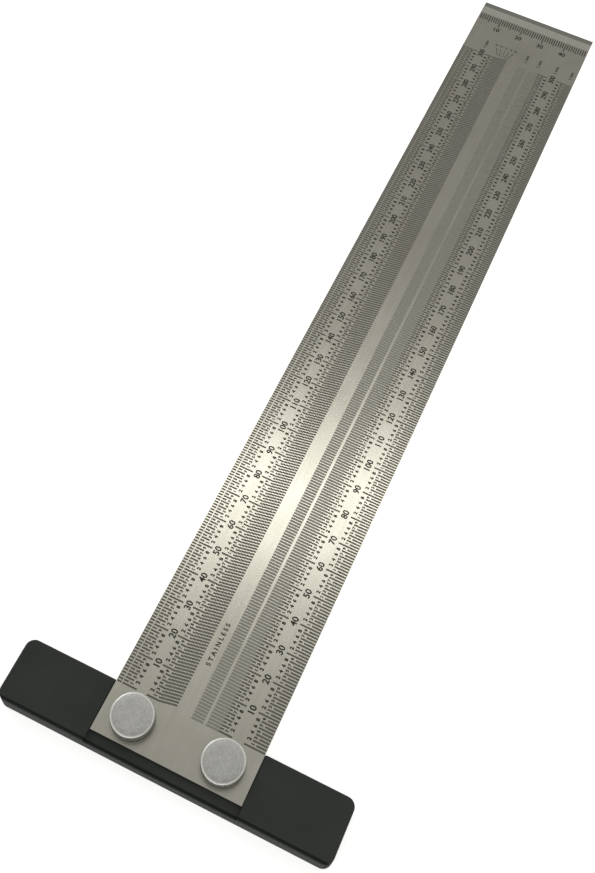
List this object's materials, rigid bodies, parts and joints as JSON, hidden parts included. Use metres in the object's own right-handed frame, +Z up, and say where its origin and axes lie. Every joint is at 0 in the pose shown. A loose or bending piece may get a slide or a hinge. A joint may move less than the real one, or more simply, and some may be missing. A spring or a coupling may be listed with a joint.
{
  "type": "t square",
  "caption": "Scribing T square: thin steel rule with a millimetre scale, clamped flush in a black T head by knurled thumb screws",
  "frame": {"origin": "middle of the T head's underside, which lies on the table", "axes": "+X along the head, +Y from the head along the blade towards its far end, +Z up out of the blade's marked face; the scale's zero is the head's working face at y = 0.010"},
  "size_m": [0.11, 0.351, 0.013],
  "materials": {
    "black_anodised": "satin black anodised",
    "stainless": "brushed along its length, black etched scale",
    "knob_aluminium": "bead blasted with a bright turned rim and knurled side",
    "screw_steel": "zinc plated thread"
  },
  "bodies": {
    "rule": {"t_head": "black_anodised", "blade": "stainless"},
    "screw_left": {"stud_left": "screw_steel"},
    "knob_left": {"knob_left": "knob_aluminium"},
    "screw_right": {"stud_right": "screw_steel"},
    "knob_right": {"knob_right": "knob_aluminium"}
  },
  "joints": [
    {"name": "screw_left_lift", "type": "slide", "parent": "rule", "child": "screw_left", "axis": [0, 0, 1], "range_m": [0, 0.0056]},
    {"name": "knob_left_turn", "type": "hinge", "parent": "screw_left", "child": "knob_left", "pos_m": [-0.015, 0.002, 0.0083], "axis": [0, 0, 1], "range_deg": [0, 2880]},
    {"name": "screw_right_lift", "type": "slide", "parent": "rule", "child": "screw_right", "axis": [0, 0, 1], "range_m": [0, 0.0056]},
    {"name": "knob_right_turn", "type": "hinge", "parent": "screw_right", "child": "knob_right", "pos_m": [0.015, 0.002, 0.0083], "axis": [0, 0, 1], "range_deg": [0, 2880]}
  ],
  "couplings": [
    {"joint": "knob_left_turn", "follows": "screw_left_lift", "rad_per_m": 8975.9},
    {"joint": "knob_right_turn", "follows": "screw_right_lift", "rad_per_m": 8975.9}
  ]
}
